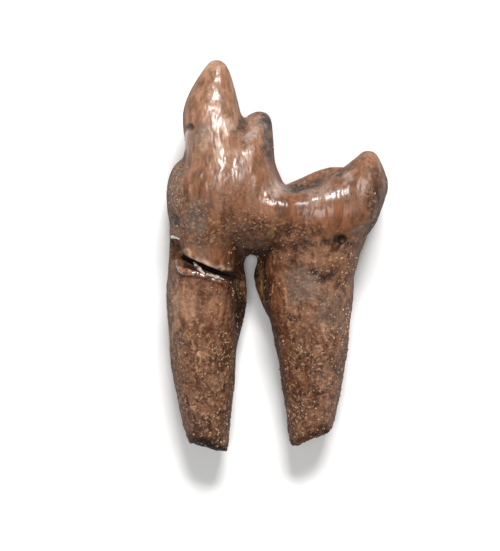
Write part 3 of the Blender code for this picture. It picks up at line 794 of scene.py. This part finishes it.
# %% [markdown]
# ## The glue
#
# Whoever mended the tooth ran glue along the lower side of the break. It set as a glossy brown
# bead, with two cloudy strands over the gap and one at its left end. The strands are coloured
# pale, partly as painted glints. Each is a curve laid on the skin with a bevel for its thickness.
# A ray from above finds the skin's height under every point, and a least height keeps the strands
# from sagging into the gap.
#
# Each point is a pixel and the glue's radius in pixels. A run of glue is its points, how deep it
# sinks as a share of its radius, its least height in mm, and its finish.

# %% The bead and its strands
BEAD = [(177.5, 261, 1.3), (178.5, 266, 2.8), (182, 270.5, 3.6), (188, 272.5, 3.4), (194, 273, 2.8),
        (201, 274.5, 2.4), (207, 277.5, 2.8), (214, 279.5, 2.5), (220, 281, 1.8), (226, 282, 0.7)]
STRANDS = [[(194, 262, 1.0), (195.5, 264.5, 2.3), (198, 267, 1.5), (200, 269, 2.2), (202, 271, 1.4),
            (205, 274, 0.9)],
           [(207, 274, 1.0), (210, 275, 2.0), (214, 276.5, 1.5), (218, 277, 2.1), (224, 279.5, 0.7)],
           [(172, 237, 1.2), (174, 236.5, 2.3), (177, 237, 1.7), (181, 240, 0.7)]]
BROWN, CLOUDY_AND_GLINT = 0, 1
OVER_THE_GAP = 5.3
RUNS = [(BEAD, 0.25, 3.6, BROWN), (STRANDS[0], -0.2, OVER_THE_GAP, CLOUDY_AND_GLINT),
        (STRANDS[1], -0.2, OVER_THE_GAP, CLOUDY_AND_GLINT), (STRANDS[2], 0.5, 3.2, CLOUDY_AND_GLINT)]
GLUE_RELIEF = [(0.07, 0.25, 41.0)]
RAY_START = 20.0
SKIN = BVHTree.FromPolygons([Vector(p) for p in points_of(tooth)],
                            [tuple(p.vertices) for p in tooth.polygons])


def skin_height(x, y):
    """The skin's Z under a place in X and Y, or the table's where there is no skin."""
    hit = SKIN.ray_cast(Vector((x, y, RAY_START)), Vector((0, 0, -1)))[0]
    return hit.z if hit else 0.0


def bead_mesh(name, pixels, sink, least_z):
    """A bevelled curve through the pixels, as a mesh."""
    curve = bpy.data.curves.new(name, "CURVE")
    curve.dimensions = "3D"
    curve.bevel_depth = 1.0
    curve.bevel_resolution = 4
    curve.use_fill_caps = True
    spline = curve.splines.new("NURBS")
    spline.points.add(len(pixels) - 1)
    spline.order_u = 4
    spline.use_endpoint_u = True
    spline.resolution_u = 6
    for point, (px, py, radius) in zip(spline.points, pixels):
        x, y = on_tooth(px, py)
        radius *= MM_PER_PIXEL
        z = max(skin_height(x, y), least_z) - sink * radius
        point.co = (x, y, z, 1.0)
        point.radius = radius
    return taken_off(piece_from(curve, name), name)


def glue_finish(name, deep, light):
    r = Recipe(name)
    r.feed(r.shader.inputs["Base Color"], r.mix(r.step(r.grain(3.0), 0.35, 0.65), deep, light))
    r.shader.inputs["Roughness"].default_value = 0.13
    r.shader.inputs["Specular IOR Level"].default_value = 0.9
    r.feed(r.shader.inputs["Normal"], r.bump(r.grain(3.0, 1.0), 0.05))
    return r.material


def glue():
    """The brown bead, and the cloudy strands over it, in one mesh with a finish each; the strands' pale
    finish is partly a painted glint.
    """
    bm = bmesh.new()
    for pixels, sink, least_z, finish in RUNS:
        mesh = bead_mesh("glue", pixels, sink, least_z)
        mesh.polygons.foreach_set("material_index", [finish] * len(mesh.polygons))
        points = points_of(mesh)
        lift = layered(points, GLUE_RELIEF)
        set_points(mesh, points + normals_of(mesh) * lift[:, None])
        bm.from_mesh(mesh)
        bpy.data.meshes.remove(mesh)
    bmesh.ops.remove_doubles(bm, verts=bm.verts, dist=MERGE_WITHIN)
    mesh = bpy.data.meshes.new("glue")
    bm.to_mesh(mesh)
    bm.free()
    mesh.materials.append(glue_finish("old_glue", colour(74, 40, 26), colour(156, 112, 88)))
    # Pale cloudy glue, partly a painted glint on the strands.
    mesh.materials.append(glue_finish("cloudy_glue_and_glint", colour(112, 98, 86), colour(196, 188, 178)))
    return mesh


glue_bead = glue()
print("glue:", len(glue_bead.polygons), "faces")


# %% [markdown]
# ## Sand grains
#
# Grains of the sand it was buried in still stick to the roots and sit in the hollows. They are the
# same thing many times over, so Geometry Nodes make them: points are scattered over the skin, more
# where an attribute is high, and a tiny faceted ball of its own size and turn goes on each. The gap
# of the break stays clear of sand, by a pair of distances in mm from its middle line.

# %% Where sand sticks
SANDY = [(346, 310, 3.0, 26.0, 4, 1.0), (345, 262, 12.0, 8.0, 0, 0.7), (310, 420, 22.0, 16.0, 0, 0.5),
         (272, 236, 6.0, 6.0, 0, 0.7), (226, 345, 7.0, 26.0, 0, 0.45), (335, 355, 10.0, 40.0, 0, 0.3),
         (176, 185, 8.0, 22.0, 0, 0.4), (215, 430, 16.0, 18.0, 0, 0.4), (322, 275, 14.0, 8.0, 0, 0.4)]
SAND_ANYWHERE = 0.02
SAND_ON_ROOTS = 0.16
SAND_IN_HOLLOWS = 0.3
SAND_BETWEEN_CLUMPS = 0.5
ROOTS_FROM = (1.6, 0.4)
CLUMPS = (0.8, 31.0)
CLUMP_EDGE = (-0.1, 0.5)
CLEAR_OF_GAP = (0.15, 0.45)


def store_sand(mesh):
    """How thick the sand lies at each point, from 0 to 1."""
    points, normals = points_of(mesh), normals_of(mesh)
    facing = ease(normals[:, 2], *STAINED_SIDE)
    clumps = ease(field(points, *CLUMPS), *CLUMP_EDGE)
    bare = SAND_ON_ROOTS * ease(points[:, 1], *ROOTS_FROM) + SAND_ANYWHERE
    uneven = SAND_BETWEEN_CLUMPS + (1.0 - SAND_BETWEEN_CLUMPS) * clumps
    sand = clumps * bare + uneven * stain(points, SANDY, facing)
    sand += SAND_IN_HOLLOWS * hollowness(mesh)
    gap = distance_to_line(points, [(px, py) for px, py, _ in GAP_LINE])
    store(mesh, "sand", sand * ease(gap, *CLEAR_OF_GAP))


store_sand(tooth)
print("sand stored on", len(tooth.attributes["sand"].data), "points")


# %% The grain scatter as Geometry Nodes
def grain_tree(material):
    tree = bpy.data.node_groups.new("sand_scatter", "GeometryNodeTree")
    face = tree.interface
    face.new_socket("Skin", in_out="INPUT", socket_type="NodeSocketGeometry")
    face.new_socket("Grains a square mm", in_out="INPUT", socket_type="NodeSocketFloat")
    face.new_socket("Smallest mm", in_out="INPUT", socket_type="NodeSocketFloat")
    face.new_socket("Largest mm", in_out="INPUT", socket_type="NodeSocketFloat")
    face.new_socket("Grains", in_out="OUTPUT", socket_type="NodeSocketGeometry")
    new, join = tree.nodes.new, tree.links.new
    given, result = new("NodeGroupInput"), new("NodeGroupOutput")

    where = new("GeometryNodeInputNamedAttribute")
    where.data_type = "FLOAT"
    where.inputs["Name"].default_value = "sand"
    density = new("ShaderNodeMath")
    density.operation = "MULTIPLY"
    join(where.outputs["Attribute"], density.inputs[0])
    join(given.outputs["Grains a square mm"], density.inputs[1])
    scatter = new("GeometryNodeDistributePointsOnFaces")
    scatter.inputs["Seed"].default_value = 11
    join(given.outputs["Skin"], scatter.inputs["Mesh"])
    join(density.outputs[0], scatter.inputs["Density"])

    ball = new("GeometryNodeMeshIcoSphere")
    ball.inputs["Radius"].default_value = 0.5
    ball.inputs["Subdivisions"].default_value = 1
    size = new("FunctionNodeRandomValue")
    size.inputs["Seed"].default_value = 5
    join(given.outputs["Smallest mm"], size.inputs[2])
    join(given.outputs["Largest mm"], size.inputs[3])
    turn = new("FunctionNodeRandomValue")
    turn.data_type = "FLOAT_VECTOR"
    turn.inputs["Seed"].default_value = 3
    turn.inputs[1].default_value = (math.tau,) * 3
    place = new("GeometryNodeInstanceOnPoints")
    join(scatter.outputs["Points"], place.inputs["Points"])
    join(ball.outputs["Mesh"], place.inputs["Instance"])
    join(turn.outputs[0], place.inputs["Rotation"])
    join(size.outputs[1], place.inputs["Scale"])

    tone = new("FunctionNodeRandomValue")
    tone.inputs["Seed"].default_value = 8
    keep = new("GeometryNodeStoreNamedAttribute")
    keep.data_type = "FLOAT"
    keep.domain = "INSTANCE"
    keep.inputs["Name"].default_value = "tone"
    join(place.outputs["Instances"], keep.inputs["Geometry"])
    join(tone.outputs[1], keep.inputs["Value"])
    solid = new("GeometryNodeRealizeInstances")
    join(keep.outputs["Geometry"], solid.inputs["Geometry"])
    finish = new("GeometryNodeSetMaterial")
    finish.inputs["Material"].default_value = material
    join(solid.outputs["Geometry"], finish.inputs["Geometry"])
    join(finish.outputs["Geometry"], result.inputs["Grains"])
    return tree


def sand_finish():
    r = Recipe("burial_sand")
    tone = r.mix(r.attribute("tone"), colour(92, 60, 38), colour(204, 174, 142))
    tone = r.lay(colour(150, 104, 60), tone, r.grain(12.0), 0.4)
    r.feed(r.shader.inputs["Base Color"], tone)
    r.shader.inputs["Roughness"].default_value = 0.45
    return r.material


GRAINS_PER_SQUARE_MM = 34.0
SMALLEST_GRAIN = 0.035
LARGEST_GRAIN = 0.125
FACES_A_GRAIN = 20


def sand_grains(skin):
    obj = piece_from(skin.copy(), "grains")
    scatter = obj.modifiers.new("scatter", "NODES")
    scatter.node_group = grain_tree(sand_finish())
    sizes = {"Grains a square mm": GRAINS_PER_SQUARE_MM, "Smallest mm": SMALLEST_GRAIN,
             "Largest mm": LARGEST_GRAIN}
    for socket in scatter.node_group.interface.items_tree:
        if socket.name in sizes and socket.in_out == "INPUT":
            scatter[socket.identifier] = sizes[socket.name]
    return taken_off(obj, "sand_grains")


grains = sand_grains(tooth)
print("sand:", len(grains.polygons) // FACES_A_GRAIN, "grains")


# %% [markdown]
# ## The pieces, in metres, on the tooth
#
# The three meshes are turned from millimetres into metres. The fine tooth stands for the packed
# solid, and the glue and the sand go with it. All three are held inside the imported solid's box, so
# nothing reaches below the table and the size stays that of the imported solid.

# %% Into the frame
def finished(mesh, name, smooth=True):
    """A mesh in mm as a piece in metres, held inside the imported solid's box."""
    low, high = (np.array(corner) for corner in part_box("molar"))
    set_points(mesh, np.clip(points_of(mesh) * MM, low, high))
    if smooth:
        mesh.shade_smooth()
    piece = piece_from(mesh, name)
    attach(piece, "root")
    triangles = sum(len(p.vertices) - 2 for p in mesh.polygons)
    print(name, "has", triangles, "triangles")
    return piece


fossil = finished(tooth, "fossil_tooth_skin")
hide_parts("molar")
finished(glue_bead, "glue_in_the_break")
finished(grains, "sand_grains", smooth=False)


# %% [markdown]
# ## Table, light and camera
#
# The tooth lies on a pale table. A soft key lamp stands past the cusps and a little to the right, so
# the highlights fall on the faces that lean towards it. A weaker soft lamp overhead and a dim white
# room fill the shadows. Sizes, distances and places here are in metres, as Blender takes them.

# %% Table
TABLE_HALF = 1.5
BELOW_THE_TOOTH = 0.00002


def table():
    mesh = bpy.data.meshes.new("table")
    bm = bmesh.new()
    bmesh.ops.create_grid(bm, x_segments=1, y_segments=1, size=TABLE_HALF)
    bm.to_mesh(mesh)
    bm.free()
    r = Recipe("white_table")
    r.shader.inputs["Base Color"].default_value = (0.86, 0.86, 0.85, 1.0)
    r.shader.inputs["Roughness"].default_value = 0.9
    r.shader.inputs["Specular IOR Level"].default_value = 0.1
    mesh.materials.append(r.material)
    piece = piece_from(mesh, "table")
    piece.location.z = -BELOW_THE_TOOTH


table()
print("table", 2 * TABLE_HALF, "m wide")


# %% Light
ROOM_BRIGHTNESS = 0.20


def lamp(name, towards, distance, size, power):
    """A soft lamp that shines at the origin from the given direction."""
    data = bpy.data.lights.new(name, "AREA")
    data.shape = "RECTANGLE"
    data.size, data.size_y = size
    data.energy = power
    obj = piece_from(data, name)
    way = Vector(towards).normalized()
    obj.location = way * distance
    obj.rotation_euler = way.to_track_quat("Z", "Y").to_euler()
    print(name, distance, "m away,", power, "W")


lamp("key_lamp", towards=(0.10, 0.66, 0.90), distance=0.55, size=(0.17, 0.12), power=3.3)
lamp("top_lamp", towards=(-0.05, -0.12, 1.0), distance=0.60, size=(0.24, 0.24), power=1.6)
room = bpy.data.worlds.new("room")
room.use_nodes = True
room.node_tree.nodes["Background"].inputs["Color"].default_value = (1.0, 1.0, 1.0, 1.0)
room.node_tree.nodes["Background"].inputs["Strength"].default_value = ROOM_BRIGHTNESS
bpy.context.scene.world = room
bpy.context.scene.view_settings.view_transform = "Standard"

# %% Camera
LENS = 200.0
SENSOR = 36.0
PHOTO_SIZE = (500, 551)
SHARP_HEIGHT = 3.4


def camera():
    data = bpy.data.cameras.new("camera")
    data.lens = LENS
    data.sensor_width = SENSOR
    data.clip_start = 0.01
    obj = piece_from(data, "camera")
    x, y = on_tooth(PHOTO_SIZE[0] / 2, PHOTO_SIZE[1] / 2)
    distance = LENS / SENSOR * PHOTO_SIZE[1] * MM_PER_PIXEL
    obj.location = (x * MM, y * MM, (SHARP_HEIGHT + distance) * MM)
    bpy.context.scene.camera = obj
    print("camera", round(distance), "mm above the tooth")


camera()
